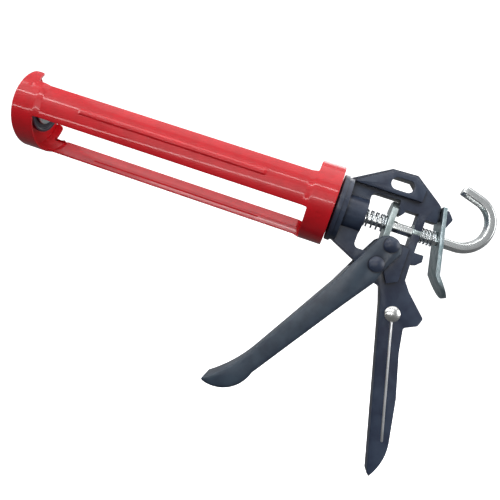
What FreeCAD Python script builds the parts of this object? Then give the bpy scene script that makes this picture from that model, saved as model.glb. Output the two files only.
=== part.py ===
import FreeCAD, Part
import math
import os

import Sketcher

# Caulking gun for one 300 ml cartridge: a half-open sheet-steel cradle that turns on a die-cast
# frame, a hexagonal push rod with a ladder hook, a gripping drive plate and a thumb release.
# Frame of the part: +X runs to the rear along the push rod, +Z is up, and the origin is on the
# rod's axis at the outer face of the front plate. All lengths are millimetres.

doc = FreeCAD.newDocument("CaulkingGun")
sheet = doc.addObject("Spreadsheet::Sheet", "Sizes")

DRIVING = {
    # cradle: bent from one sheet, with a front plate and a rear plate welded in
    "cradle_length": 228.3,
    "cradle_radius": 27.5,
    "cradle_wall": 1.2,
    "front_ring_width": 15.8,
    "collar_width": 16.0,
    "strip_recess": 1.0,
    "strip_arc_deg": 54.0,
    "strip_centre_deg": 116.7,
    "ring_gap_deg": 123.0,
    "ring_arm_width": 7.5,
    "joggle_length": 6.0,
    "bead_radius": 2.4,
    "bead_inset": 49.0,
    "bead_rise": 0.8,
    "cradle_turn_deg": 33.7,
    "plate_wall": 1.6,
    "nozzle_slot_radius": 8.5,
    # frame hub
    "flange_radius": 22.8,
    "flange_width": 3.6,
    "flange_step": 1.0,
    "hub_neck_radius": 10.0,
    "boss_rise": 2.0,
    "hub_length": 20.8,
    "retainer_radius": 14.5,
    "retainer_width": 3.0,
    "washer_wall": 0.6,
    # frame casting
    "frame_width": 20.0,
    "frame_web": 10.0,
    "panel_step": 1.2,
    "crown_wall": 4.0,
    "rim_width": 3.8,
    "window_length": 32.6,
    "window_top": 17.1,
    "window_sill": 10.2,
    "window_floor_gap": 4.7,
    "window_corner": 3.2,
    "hang_slot_length": 15.4,
    "hang_slot_radius": 4.1,
    "hang_slot_height": 26.3,
    "rear_wall": 5.3,
    "handle_depth": 160.2,
    "handle_reach": 18.4,
    "handle_back": 24.1,
    "bush_wall": 1.1,
    "crown_height": 36.0,
    "throat_wall": 7.8,
    # push rod
    "rod_across_flats": 7.0,
    "hook_radius": 17.2,
    "hook_turn_deg": 162.0,
    "hook_tip": 12.2,
    "hook_gap": 10.1,
    "plunger_gap": 10.4,
    "plunger_wall": 1.8,
    "plunger_lip": 3.2,
    "backing_radius": 9.0,
    "backing_wall": 1.6,
    "nut_across_flats": 10.0,
    "nut_height": 3.8,
    "stud_radius": 3.0,
    # drive plate and its spring
    "drive_wall": 4.0,
    "drive_width": 17.0,
    "drive_top": 15.4,
    "drive_toe": 3.4,
    "spring_gap": 0.9,
    "spring_wire": 1.3,
    "spring_coils": 4.25,
    # trigger
    "trigger_wall": 2.2,
    "trigger_depth": 109.7,
    "trigger_reach": 84.0,
    "pivot_depth": 28.6,
    "pivot_setback": 16.2,
    "pivot_radius": 3.0,
    "pin_radius": 2.5,
    "pin_lift": 14.8,
    "pin_setback": 5.1,
    "head_radius": 5.1,
    "head_skirt": 0.6,
    "head_height": 1.9,
    # release lever
    "lever_wall": 2.4,
    "lever_width": 19.0,
    "lever_drop": 44.4,
    "lever_tilt_deg": 11.5,
    "lever_tab": 10.3,
    "lever_top": 20.6,
    "lever_setback": 7.2,
    "lever_bore_gap": 0.76,
    "nose_width": 7.0,
    "release_spring_gap": 0.3,
    "release_spring_wire": 1.1,
    "release_spring_coils": 4.25,
    # seal-puncture wire
    "wire_eye_wall": 1.8,
    "wire_shank_radius": 0.82,
    "wire_length": 82.0,
    "wire_eye_radius": 3.9,
    "stow_rivet_radius": 2.05,
    "stow_rivet_drop": 55.4,
    "stow_rivet_setback": 2.0,
    # clearances
    "touch_gap": 0.02,
    "seat_gap": 0.05,
    "running_gap": 0.06,
    "slide_gap": 0.3,
    "side_gap": 0.5,
    "face_gap": 0.3,
}

for row, (alias, value) in enumerate(DRIVING.items(), start=1):
    sheet.set("A%d" % row, alias)
    sheet.set("B%d" % row, repr(value))
    sheet.setAlias("B%d" % row, alias)
doc.recompute()


class Size:
    """A length or angle worked out from the sheet, with the expression that binds it."""

    def __init__(self, value, text):
        self.value = float(value)
        self.text = text

    @staticmethod
    def of(other):
        return other if isinstance(other, Size) else Size(other, repr(float(other)))

    def _join(self, other, sign, value):
        return Size(value, "(%s %s %s)" % (self.text, sign, Size.of(other).text))

    def __add__(self, other):
        return self._join(other, "+", self.value + Size.of(other).value)

    def __sub__(self, other):
        return self._join(other, "-", self.value - Size.of(other).value)

    def __mul__(self, other):
        return self._join(other, "*", self.value * Size.of(other).value)

    def __truediv__(self, other):
        return self._join(other, "/", self.value / Size.of(other).value)

    def __radd__(self, other):
        return Size.of(other) + self

    def __rsub__(self, other):
        return Size.of(other) - self

    def __rmul__(self, other):
        return Size.of(other) * self

    def __neg__(self):
        return Size(-self.value, "(0 - %s)" % self.text)

    def trig(self, name):
        """Sine, cosine or tangent of this size, read as degrees."""
        value = getattr(math, name)(math.radians(self.value))
        return Size(value, "%s(%s * 1deg)" % (name, self.text))


def size(alias):
    """The sheet's cell of this alias."""
    return Size(sheet.get(alias), "Sizes.%s" % alias)


S = {alias: size(alias) for alias in DRIVING}
ZERO = Size.of(0.0)


def bind(thing, prop, value):
    """Set a property of a document object to a size and keep it bound to the sheet."""
    value = Size.of(value)
    if "." not in prop:
        setattr(thing, prop, value.value)
    thing.setExpression(prop, value.text)


def place(thing, x=ZERO, y=ZERO, z=ZERO, turn=None):
    """Put an object at (x, y, z), turned by a FreeCAD rotation, with its place bound."""
    x, y, z = Size.of(x), Size.of(y), Size.of(z)
    thing.Placement = FreeCAD.Placement(
        FreeCAD.Vector(x.value, y.value, z.value), turn or FreeCAD.Rotation())
    for axis, value in (("x", x), ("y", y), ("z", z)):
        thing.setExpression("Placement.Base.%s" % axis, value.text)
    return thing


ALONG_X = FreeCAD.Rotation(FreeCAD.Vector(0, 1, 0), 90)


# ---------------------------------------------------------------- sketched outlines
class Point:
    """One corner of an outline; bulge is the radius of the arc that leaves it, if any."""

    def __init__(self, a, b, bulge=None, left=True):
        self.a = Size.of(a)
        self.b = Size.of(b)
        self.bulge = None if bulge is None else Size.of(bulge)
        self.left = left


def arc_between(start, end):
    """The arc from start to end of start.bulge, turning left or right."""
    p = FreeCAD.Vector(start.a.value, start.b.value, 0)
    q = FreeCAD.Vector(end.a.value, end.b.value, 0)
    first, last = (p, q) if start.left else (q, p)
    chord = last - first
    half = chord.Length / 2
    radius = start.bulge.value
    rise = math.sqrt(max(radius * radius - half * half, 0.0))
    side = FreeCAD.Vector(-chord.y, chord.x, 0).normalize()
    centre = first + chord * 0.5 + side * rise
    begin = math.atan2(first.y - centre.y, first.x - centre.x)
    finish = math.atan2(last.y - centre.y, last.x - centre.x)
    circle = Part.Circle(centre, FreeCAD.Vector(0, 0, 1), radius)
    return Part.ArcOfCircle(circle, begin, finish), start.left


def draw(sketch, points, closed=True):
    """Draw one outline in a sketch, each corner bound to its two sizes."""
    pieces = []
    count = len(points) if closed else len(points) - 1
    for index in range(count):
        start, end = points[index], points[(index + 1) % len(points)]
        if start.bulge is None:
            a = FreeCAD.Vector(start.a.value, start.b.value, 0)
            b = FreeCAD.Vector(end.a.value, end.b.value, 0)
            number = sketch.addGeometry(Part.LineSegment(a, b), False)
            pieces.append((number, 1, 2))
        else:
            arc, left = arc_between(start, end)
            number = sketch.addGeometry(arc, False)
            pieces.append((number, 1, 2) if left else (number, 2, 1))
    rules = []
    for index, (number, first, last) in enumerate(pieces):
        if closed or index + 1 < len(pieces):
            after, after_first, _ = pieces[(index + 1) % len(pieces)]
            rules.append(Sketcher.Constraint("Coincident", number, last, after, after_first))
    sketch.addConstraint(rules)

    def hold(kind, value, *where):
        rule = sketch.addConstraint(Sketcher.Constraint(kind, *where, value.value))
        sketch.setExpression("Constraints[%d]" % rule, value.text)

    def pin(number, end, point):
        hold("DistanceX", point.a, -1, 1, number, end)
        hold("DistanceY", point.b, -1, 1, number, end)

    for index, (number, first, last) in enumerate(pieces):
        start, end = points[index], points[(index + 1) % len(points)]
        pin(number, first, start)
        if start.bulge is None:
            continue
        wide, high = end.a.value - start.a.value, end.b.value - start.b.value
        if math.hypot(wide, high) < 2 * start.bulge.value - 1e-6:
            hold("Radius", start.bulge, number)
        elif abs(high) < abs(wide):
            hold("DistanceY", start.b, -1, 1, number, 3)
        else:
            hold("DistanceX", start.a, -1, 1, number, 3)
    if not closed:
        number, _, last = pieces[-1]
        pin(number, last, points[-1])


def draw_circle(sketch, a, b, radius):
    """Draw one circle, with its centre and radius bound."""
    a, b, radius = Size.of(a), Size.of(b), Size.of(radius)
    circle = Part.Circle(FreeCAD.Vector(a.value, b.value, 0), FreeCAD.Vector(0, 0, 1), radius.value)
    number = sketch.addGeometry(circle, False)
    for kind, value in (("DistanceX", a), ("DistanceY", b)):
        rule = sketch.addConstraint(Sketcher.Constraint(kind, -1, 1, number, 3, value.value))
        sketch.setExpression("Constraints[%d]" % rule, value.text)
    rule = sketch.addConstraint(Sketcher.Constraint("Radius", number, radius.value))
    sketch.setExpression("Constraints[%d]" % rule, radius.text)


class Maker:
    """A PartDesign body that grows by padding, turning and cutting sketched outlines."""

    def __init__(self, label):
        self.body = doc.addObject("PartDesign::Body", label)
        self.body.Label = label
        self.steps = 0

    def sketch(self, plane, loops, circles=(), offset=None):
        """A sketch on one of the body's origin planes, moved along its normal by offset."""
        self.steps += 1
        name = "%s_outline_%d" % (self.body.Name, self.steps)
        sketch = self.body.newObject("Sketcher::SketchObject", name)
        support = next(f for f in self.body.Origin.OriginFeatures if f.Role == plane)
        sketch.AttachmentSupport = [(support, "")]
        sketch.MapMode = "FlatFace"
        if offset is not None:
            offset = Size.of(offset)
            sketch.AttachmentOffset = FreeCAD.Placement(
                FreeCAD.Vector(0, 0, offset.value), FreeCAD.Rotation())
            sketch.setExpression("AttachmentOffset.Base.z", offset.text)
        for loop in loops:
            draw(sketch, loop)
        for circle in circles:
            draw_circle(sketch, *circle)
        return sketch

    def _feature(self, kind, sketch):
        name = "%s_%s_%d" % (self.body.Name, kind.lower(), self.steps)
        feature = self.body.newObject("PartDesign::%s" % kind, name)
        feature.Profile = sketch
        return feature

    def pad(self, plane, loops, length, circles=(), offset=None, both=True):
        """Add material, half to each side of the sketch unless both is False."""
        feature = self._feature("Pad", self.sketch(plane, loops, circles, offset))
        feature.SideType = "Symmetric" if both else "One side"
        bind(feature, "Length", length)
        doc.recompute()
        return feature

    def cut(self, plane, loops, length, circles=(), offset=None, both=True, flip=False):
        """Take material away and make sure that some went."""
        before = self.body.Shape.Volume
        feature = self._feature("Pocket", self.sketch(plane, loops, circles, offset))
        feature.SideType = "Symmetric" if both else "One side"
        feature.Reversed = flip
        bind(feature, "Length", length)
        doc.recompute()
        if not self.body.Shape.Volume < before - 1e-3:
            raise RuntimeError("%s cuts nothing" % feature.Name)
        return feature

    def turn(self, loop):
        """Add a turned piece whose outline is (place along X, radius)."""
        sketch = self.sketch("XZ_Plane", [loop])
        feature = self._feature("Revolution", sketch)
        feature.ReferenceAxis = (sketch, ["H_Axis"])
        feature.Angle = 360.0
        doc.recompute()
        return feature

    def round_edges(self, chosen, radius):
        """Round the edges of the body that chosen(edge) picks."""
        edges = enumerate(self.body.Shape.Edges, start=1)
        names = ["Edge%d" % number for number, edge in edges if chosen(edge)]
        if not names:
            raise RuntimeError("%s: no edge to round" % self.body.Name)
        self.steps += 1
        tip = self.body.Tip
        feature = self.body.newObject("PartDesign::Fillet", "%s_fillet_%d" % (self.body.Name, self.steps))
        feature.Base = (tip, names)
        bind(feature, "Radius", radius)
        doc.recompute()
        return feature



def edge_along(edge, axis):
    """True for a straight edge that runs along the given axis (0, 1 or 2)."""
    if len(edge.Vertexes) != 2 or not isinstance(edge.Curve, Part.Line):
        return False
    way = edge.Vertexes[1].Point - edge.Vertexes[0].Point
    return abs(abs(way[axis]) - way.Length) < 1e-4 and way.Length > 1e-3


def near_points(points, reach=0.05):
    """A chooser of edges along Y whose (x, z) is one of the given outline points."""
    spots = [(p.a.value, p.b.value) for p in points]

    def chosen(edge):
        if not edge_along(edge, 1):
            return False
        at = edge.Vertexes[0].Point
        return any(abs(at.x - x) < reach and abs(at.z - z) < reach for x, z in spots)
    return chosen


def cylinder(name, radius, length, angle=None, **where):
    """A cylinder along its own Z axis, or a wedge of one."""
    thing = doc.addObject("Part::Cylinder", name)
    bind(thing, "Radius", radius)
    bind(thing, "Height", length)
    if angle is not None:
        bind(thing, "Angle", angle)
    place(thing, **where)
    return thing


def boolean(kind, name, base, tool=None, shapes=None):
    """A Part boolean: Cut or Common of two objects, or MultiFuse of a list."""
    thing = doc.addObject("Part::%s" % kind, name)
    if kind == "MultiFuse":
        thing.Shapes = shapes
    else:
        thing.Base = base
        thing.Tool = tool
    doc.recompute()
    return thing


# ---------------------------------------------------------------- places along the gun
flange_x = S["cradle_length"] + S["face_gap"] + S["washer_wall"]
slab_x = flange_x + S["flange_width"]
hub_end_x = flange_x + S["hub_length"]
window_end_x = hub_end_x + S["window_length"]
wall_end_x = window_end_x + S["rear_wall"]
half_width = S["frame_width"] / 2
pivot_x = hub_end_x + S["pivot_setback"]
pivot_z = -S["pivot_depth"]
pin_z = pivot_z + S["pin_lift"]
rod_vertex = S["rod_across_flats"] / Size.of(math.sqrt(3.0))
bore_radius = rod_vertex + S["running_gap"] + S["bush_wall"]
spring_radius = rod_vertex + S["spring_gap"] + S["spring_wire"] / 2
release_spring_radius = rod_vertex + S["release_spring_gap"] + S["release_spring_wire"] / 2
drive_rear_x = pivot_x + S["pin_setback"] - S["pin_radius"] - S["touch_gap"]
drive_front_x = drive_rear_x - S["drive_wall"]
drive_low_z = pin_z - S["drive_toe"]


# ---------------------------------------------------------------- cradle
CRADLE_TURN = FreeCAD.Rotation(FreeCAD.Vector(1, 0, 0), -S["cradle_turn_deg"].value)


def wedge(kind, name, x, start_deg, arc_deg, length, radii):
    """A solid wedge of a cylinder or cone about the rod's axis, starting at start_deg."""
    thing = doc.addObject("Part::%s" % kind, name)
    for prop, radius in radii.items():
        bind(thing, prop, radius)
    bind(thing, "Height", length)
    bind(thing, "Angle", arc_deg)
    spin = FreeCAD.Rotation(FreeCAD.Vector(0, 0, 1), Size.of(start_deg).value)
    return place(thing, x=x, turn=ALONG_X.multiply(spin))


def sheet_sector(name, x, length, start_deg, arc_deg, front, back):
    """Bent sheet: its outer radius goes from front to back, and it is one wall thick."""
    wall = S["cradle_wall"]
    if front is back:
        outer = wedge("Cylinder", name + "_outer", x, start_deg, arc_deg, length, {"Radius": front})
        inner = wedge("Cylinder", name + "_inner", x, 0, 360, length, {"Radius": front - wall})
    else:
        outer = wedge("Cone", name + "_outer", x, start_deg, arc_deg, length,
                      {"Radius1": front, "Radius2": back})
        inner = wedge("Cone", name + "_inner", x, 0, 360, length,
                      {"Radius1": front - wall, "Radius2": back - wall})
    return boolean("Cut", name, outer, inner)


def make_cradle_shell():
    """The front ring, the two beaded strips and the rear collar, bent from one sheet."""
    ring = S["cradle_radius"]
    strip = ring - S["strip_recess"]
    ring_end = S["front_ring_width"]
    collar_x = S["cradle_length"] - S["collar_width"]
    joggle = S["joggle_length"]
    ring_arc = Size.of(360) - S["ring_gap_deg"]
    band_arc = (Size.of(180) - S["strip_centre_deg"]) * 2 + S["strip_arc_deg"]
    parts = [
        sheet_sector("front_ring", ZERO, S["ring_arm_width"], -ring_arc / 2, ring_arc, ring, ring),
        sheet_sector("front_band", ZERO, ring_end, -band_arc / 2, band_arc, ring, ring),
        sheet_sector("collar", collar_x, S["collar_width"], ZERO, Size.of(360), ring, ring),
    ]
    strip_x = ring_end + joggle
    strip_length = collar_x - joggle - strip_x
    arc = S["strip_arc_deg"]
    middle = Size.of(180) - S["strip_centre_deg"]
    core = wedge("Cylinder", "strip_core", ZERO, 0, 360, S["cradle_length"],
                 {"Radius": strip - S["cradle_wall"] / 2})
    for side, centre in (("near", -middle), ("far", middle)):
        start = centre - arc / 2
        parts.append(sheet_sector("strip_" + side, strip_x, strip_length, start, arc, strip, strip))
        parts.append(sheet_sector("joggle_front_" + side, ring_end, joggle, start, arc, ring, strip))
        parts.append(sheet_sector("joggle_rear_" + side, collar_x - joggle, joggle, start, arc,
                                  strip, ring))
        parts.append(make_bead(side, centre, strip, core))
    shell = boolean("MultiFuse", "cradle_shell", None, shapes=parts)
    shell.Placement = FreeCAD.Placement(FreeCAD.Vector(), CRADLE_TURN)
    return shell


def make_bead(side, centre_deg, strip, core):
    """A long round-ended bead pressed outwards along the middle of a strip."""
    reach = strip - S["bead_radius"] + S["bead_rise"]
    down = -reach * centre_deg.trig("cos")
    across = reach * centre_deg.trig("sin")
    start = S["bead_inset"]
    length = S["cradle_length"] - start * 2
    bar = cylinder("bead_bar_" + side, S["bead_radius"], length,
                   x=start, y=across, z=down, turn=ALONG_X)
    shapes = [bar]
    for end, x in (("front", start), ("rear", start + length)):
        ball = doc.addObject("Part::Sphere", "bead_%s_%s" % (end, side))
        bind(ball, "Radius", S["bead_radius"])
        shapes.append(place(ball, x=x, y=across, z=down))
    whole = boolean("MultiFuse", "bead_whole_" + side, None, shapes=shapes)
    return boolean("Cut", "bead_" + side, whole, core)


def make_front_plate():
    """The front plate, with a slot that lets the nozzle in from the loading side."""
    disc = Maker("front_plate")
    inner = S["cradle_radius"] - S["cradle_wall"]
    disc.pad("YZ_Plane", [], S["plate_wall"], circles=[(ZERO, ZERO, inner)], both=False)
    slot = S["nozzle_slot_radius"]
    brow = inner * (S["ring_gap_deg"] / 2).trig("cos")
    disc.cut("YZ_Plane", [[
        Point(-slot, brow), Point(-slot, ZERO, bulge=slot), Point(slot, ZERO), Point(slot, brow),
        Point(inner * 2, brow), Point(inner * 2, inner * 2), Point(inner * -2, inner * 2),
        Point(inner * -2, brow),
    ]], S["plate_wall"] * 4)
    return place(disc.body, turn=CRADLE_TURN)


def make_rear_plate():
    """The rear plate, bored for the hub's neck."""
    disc = Maker("rear_plate")
    inner = S["cradle_radius"] - S["cradle_wall"]
    disc.pad("YZ_Plane", [], S["plate_wall"], both=False,
             circles=[(ZERO, ZERO, inner), (ZERO, ZERO, S["hub_neck_radius"] + S["slide_gap"])])
    return place(disc.body, x=S["cradle_length"] - S["plate_wall"])


# ---------------------------------------------------------------- frame
plate_front_x = S["cradle_length"] - S["plate_wall"]
retainer_x = plate_front_x - S["face_gap"] - S["retainer_width"]
neck_x = retainer_x - 1.0
lever_x = wall_end_x + S["lever_setback"]
block_x = lever_x - 0.6
slope = S["lever_tilt_deg"].trig("tan")


def lever_front(height):
    """Where the front face of the release lever is, along X, at this height."""
    return lever_x + (S["lever_top"] - height) * slope


lever_back = S["lever_wall"] / S["lever_tilt_deg"].trig("cos")
block_sill = Size.of(9.8)
nub_low = Size.of(-20.7)
nub_high = Size.of(-12.9)
bottom_z = -S["handle_depth"]
bottom_x = wall_end_x + S["handle_reach"]
back_x = wall_end_x + S["handle_back"]
knee_x = wall_end_x - 10.1
hip_z = Size.of(-52.2)
throat_z = pivot_z - S["pivot_radius"] - S["throat_wall"]
hang_slot_x = hub_end_x + 16.4


def frame_outline():
    """The silhouette of the casting, from the flange over the crown and round the handle."""
    return {
        "flange_top": Point(slab_x - 1.0, 20.3),
        "crown_front": Point(hang_slot_x - 9.0, S["crown_height"] - 0.5),
        "crown_rear": Point(hang_slot_x + 8.0, S["crown_height"]),
        "shoulder": Point(wall_end_x + 4.5, 22.8),
        "block_top": Point(block_x, S["lever_top"] + 0.3),
        "block_foot": Point(block_x + 0.9, block_sill),
        "wall_top": Point(wall_end_x, block_sill),
        "nub_top": Point(wall_end_x, nub_high),
        "nub_end_top": Point(wall_end_x + 6.2, nub_high),
        "nub_end": Point(wall_end_x + 6.6, nub_low + 3.4),
        "nub_end_low": Point(wall_end_x + 3.2, nub_low),
        "nub_foot": Point(wall_end_x, nub_low),
        "heel_top": Point(wall_end_x + 0.3, -32.0),
        "heel": Point(wall_end_x + 5.0, -38.4),
        "spur": Point(wall_end_x + 19.0, hip_z),
        "spur_low": Point(wall_end_x + 17.2, hip_z - 5.6),
        "grip_top": Point(wall_end_x + 9.0, hip_z - 9.8),
        "grip_high": Point(wall_end_x + 11.8, -78.5),
        "grip_back": Point(back_x - 4.6, -107.0),
        "grip_low": Point(back_x, -134.0, bulge=Size.of(36.0), left=False),
        "toe_rear": Point(bottom_x + 0.6, bottom_z),
        "toe": Point(bottom_x - 1.2, bottom_z + 1.4),
        "knee": Point(knee_x, -51.5),
        "crotch": Point(pivot_x + 8.2, throat_z - 1.6),
        "throat": Point(pivot_x + 1.4, throat_z),
        "belly": Point(hub_end_x + 2.0, throat_z + 9.8),
        "flange_low": Point(slab_x - 1.0, -20.3),
    }


def window_outline():
    """The window round the drive plate, with the step that clears the drive pin."""
    step_x = pivot_x + S["pin_setback"] + S["pin_radius"] + S["side_gap"]
    floor = drive_low_z - S["window_floor_gap"]
    return {
        "top_front": Point(hub_end_x, S["window_top"]),
        "top_rear": Point(window_end_x, S["window_top"]),
        "sill_rear": Point(window_end_x, -S["window_sill"]),
        "sill_front": Point(step_x, -S["window_sill"]),
        "floor_rear": Point(step_x, floor),
        "floor_front": Point(hub_end_x - 0.6, floor),
    }


def upper_panel():
    """The shallow panel in the crown, inside its rim."""
    rim = S["rim_width"] / 2
    return [
        Point(slab_x + 3.6, 20.4), Point(hang_slot_x - 8.4, S["crown_height"] - 0.5 - rim),
        Point(hang_slot_x + 7.2, S["crown_height"] - rim), Point(window_end_x - 1.2, 28.0),
        Point(window_end_x - 1.2, S["window_top"] + 2.4), Point(slab_x + 3.6, S["window_top"] + 2.4),
    ]


def crown_relief():
    """The hollow behind the crown's face, open on the far side."""
    rim = S["rim_width"]
    sill = S["window_top"] + 3.2
    return [
        Point(slab_x + 9.0, sill), Point(slab_x + 9.0, sill + 1.6),
        Point(hang_slot_x - 7.4, S["crown_height"] - rim),
        Point(hang_slot_x + 6.4, S["crown_height"] - rim),
        Point(window_end_x - 3.0, 25.6), Point(window_end_x - 3.0, sill),
    ]


def pivot_panel():
    """The shallow panel beside the trigger, ahead of the rear wall."""
    front = pivot_x + 9.4
    back = wall_end_x - 4.6
    return [
        Point(front, -S["window_sill"] - 1.8), Point(back, -S["window_sill"] - 1.8),
        Point(back, pivot_z - 6.0), Point(front + 1.0, pivot_z - 9.4), Point(front - 3.0, pivot_z - 2.4),
    ]


def handle_panel():
    """The deep panel along the handle, inside its rim."""
    rim = S["rim_width"]
    return [
        Point(wall_end_x - 3.6, -43.0), Point(wall_end_x + 3.0, -42.2),
        Point(wall_end_x + 13.4, hip_z - 0.4), Point(wall_end_x + 6.6, hip_z - 6.0),
        Point(wall_end_x + 4.6, hip_z - 12.0), Point(wall_end_x + 7.5, -79.4),
        Point(back_x - 8.8, -107.8), Point(back_x - 4.6, -134.0),
        Point(back_x - 7.2, bottom_z + 13.0), Point(bottom_x + 0.6, bottom_z + 8.6),
        Point(knee_x + rim + 0.2, -54.0),
    ]


def slot_loop():
    """The hang slot, a round-ended slot through the crown."""
    radius = S["hang_slot_radius"]
    half = S["hang_slot_length"] / 2 - radius
    middle = hang_slot_x
    low = S["hang_slot_height"] - radius
    high = S["hang_slot_height"] + radius
    return [
        Point(middle + half, low, bulge=radius), Point(middle + half, high),
        Point(middle - half, high, bulge=radius), Point(middle - half, low),
    ]


def make_frame():
    """The die-cast frame: hub, crown, window, rear wall, lever nose and handle."""
    frame = Maker("frame")
    neck = S["hub_neck_radius"]
    flange = S["flange_radius"]
    boss = half_width + S["boss_rise"]
    frame.turn([
        Point(neck_x, ZERO), Point(neck_x, neck), Point(flange_x, neck), Point(flange_x, flange - 0.6),
        Point(flange_x + 0.6, flange), Point(slab_x, flange), Point(slab_x, flange - S["flange_step"]),
        Point(slab_x + 3.4, flange - S["flange_step"]), Point(slab_x + 3.8, boss),
        Point(hub_end_x, boss), Point(hub_end_x, ZERO),
    ])
    outline = frame_outline()
    window = window_outline()
    edge = list(outline.values())
    window_loop = list(window.values())
    frame.pad("XZ_Plane", [edge, window_loop, slot_loop()], S["frame_web"])
    frame.pad("XZ_Plane", [edge, window_loop, upper_panel(), pivot_panel(), handle_panel()],
              S["frame_width"])
    floor_width = S["frame_width"] - S["panel_step"] * 2
    frame.pad("XZ_Plane", [upper_panel(), slot_loop()], floor_width)
    frame.pad("XZ_Plane", [pivot_panel()], floor_width)
    make_window_stops(frame)
    make_nose(frame)
    frame.cut("XZ_Plane", [crown_relief()], S["frame_width"], both=False,
              offset=half_width - S["panel_step"] - S["crown_wall"])
    reach = wall_end_x * 3
    frame.cut("YZ_Plane", [], reach, circles=[(ZERO, ZERO, bore_radius)])
    frame.cut("XZ_Plane", [], S["frame_width"] * 2, circles=[
        (pivot_x, pivot_z, S["pivot_radius"]),
        (stow_x, -S["stow_rivet_drop"], S["stow_rivet_radius"]),
    ])
    corner = S["window_corner"]
    frame.round_edges(near_points([window[k] for k in (
        "top_front", "top_rear", "floor_front")]), corner)
    frame.round_edges(near_points([outline[k] for k in (
        "crown_front", "crown_rear", "shoulder", "spur", "spur_low", "grip_top", "knee",
        "crotch", "belly", "grip_high")]), Size.of(2.0))
    return frame.body


def make_window_stops(frame):
    """The nub that the drive plate rests against, and the ledge behind it."""
    nub_x = drive_rear_x + S["face_gap"]
    top = S["window_top"] + 1.0
    frame.pad("XZ_Plane", [[
        Point(nub_x, top), Point(nub_x, 9.6), Point(nub_x + 1.6, 7.6), Point(nub_x + 3.0, 7.6),
        Point(nub_x + 4.6, 9.6), Point(nub_x + 4.6, 12.0), Point(window_end_x + 1.0, 12.0),
        Point(window_end_x + 1.0, top),
    ]], S["frame_width"] / 2)


def make_nose(frame):
    """The nose that passes through the release lever and hooks down behind it."""
    gap = Size.of(0.7)

    def behind(height):
        return lever_front(Size.of(height)) + lever_back + gap
    frame.pad("XZ_Plane", [[
        Point(block_x - 1.0, 12.2), Point(behind(12.2), 12.2), Point(behind(9.0), 9.0),
        Point(behind(9.0) + 1.4, 9.2), Point(behind(16.4) + 5.2, 14.6), Point(behind(16.4) + 5.2, 15.8),
        Point(behind(20.0) + 2.2, 20.3), Point(behind(20.0), 20.0), Point(behind(17.4), 17.4),
        Point(block_x - 1.0, 17.4),
    ]], S["nose_width"])


stow_x = wall_end_x - S["stow_rivet_setback"]
wire_y = -half_width - S["wire_eye_wall"] / 2 - S["slide_gap"]
stow_head_y = wire_y - S["wire_eye_wall"] / 2 - S["slide_gap"]


def ring_piece(label, inner, outer, x, length, bevel=None):
    """A turned ring about the rod's axis, with its outer edges bevelled if bevel is given."""
    ring = Maker(label)
    if bevel is None:
        rim = [Point(ZERO, outer), Point(length, outer)]
    else:
        rim = [
            Point(ZERO, outer - bevel), Point(bevel, outer),
            Point(length - bevel, outer), Point(length, outer - bevel),
        ]
    ring.turn([Point(ZERO, inner)] + rim + [Point(length, inner)])
    return place(ring.body, x=x)


def make_rivet(label, radius, length, near_y, x, z, far_head=True):
    """A rivet along Y whose shank starts at near_y, with a domed head at one end or both."""
    rivet = Maker(label)
    head_radius = S["head_radius"]
    head_height = S["head_height"]
    skirt = S["head_skirt"]
    dome = (head_radius * head_radius + head_height * head_height) / (head_height * 2)
    loop = [
        Point(-skirt - head_height, ZERO, bulge=dome, left=False), Point(-skirt, head_radius),
        Point(ZERO, head_radius), Point(ZERO, radius),
    ]
    if far_head:
        loop += [
            Point(length, radius), Point(length, head_radius),
            Point(length + skirt, head_radius, bulge=dome, left=False),
            Point(length + skirt + head_height, ZERO),
        ]
    else:
        loop += [Point(length, radius), Point(length, ZERO)]
    rivet.turn(loop)
    turn = FreeCAD.Rotation(FreeCAD.Vector(0, 0, 1), 90)
    return place(rivet.body, x=x, y=near_y, z=z, turn=turn)


# ---------------------------------------------------------------- trigger and drive
def make_trigger():
    """The trigger: a channel with two cheeks that straddle the frame at the pivot."""
    trigger = Maker("trigger")
    width = S["frame_width"] + S["side_gap"] * 2 + S["trigger_wall"] * 2
    depth = -S["trigger_depth"]
    reach = -S["trigger_reach"]
    wall = S["trigger_wall"]
    lift = S["pin_lift"]
    setback = S["pin_setback"]
    outline = {
        "top": Point(-3.4, lift + 2.4, bulge=Size.of(9.0), left=False),
        "brow": Point(setback + 7.3, lift - 4.2),
        "nape": Point(4.9, -3.7),
        "neck": Point(3.1, -10.9),
        "back_high": Point(-10.8, -31.0),
        "back_low": Point(reach + 31.5, depth + 15.6, bulge=Size.of(24.0), left=False),
        "tip_low": Point(reach + 2.8, depth - 1.2),
        "tip": Point(reach, depth, bulge=Size.of(100.0), left=True),
        "front_low": Point(reach + 28.2, depth + 32.2),
        "front_high": Point(-21.2, -18.4),
        "front_top": Point(-14.2, -4.2),
        "cheek": Point(-7.8, 8.9),
    }
    trigger.pad("XZ_Plane", [list(outline.values())], width)
    inner = wall * 1.18
    trigger.cut("XZ_Plane", [[
        Point(-30.0, 30.0), Point(-30.0, -6.0), Point(Size.of(-15.1) + inner, -6.0),
        Point(Size.of(-21.2) + inner, -18.4), Point(reach + 28.2 + inner, depth + 32.2),
        Point(reach + 15.8, depth + 12.6), Point(reach + 12.0, depth + 6.2),
        Point(reach + 12.0, depth - 20.0), Point(30.0, depth - 20.0), Point(30.0, 30.0),
    ]], S["frame_width"] + S["side_gap"] * 2)
    trigger.cut("XZ_Plane", [], width * 2, circles=[
        (ZERO, ZERO, S["pivot_radius"] + S["running_gap"]), (setback, lift, S["pin_radius"])])
    trigger.round_edges(near_points([outline[k] for k in (
        "neck", "back_high", "front_high", "front_top", "cheek")]), Size.of(4.0))
    trigger.round_edges(near_points([outline["tip"]]), Size.of(0.8))
    return place(trigger.body, x=pivot_x, z=pivot_z)


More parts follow.
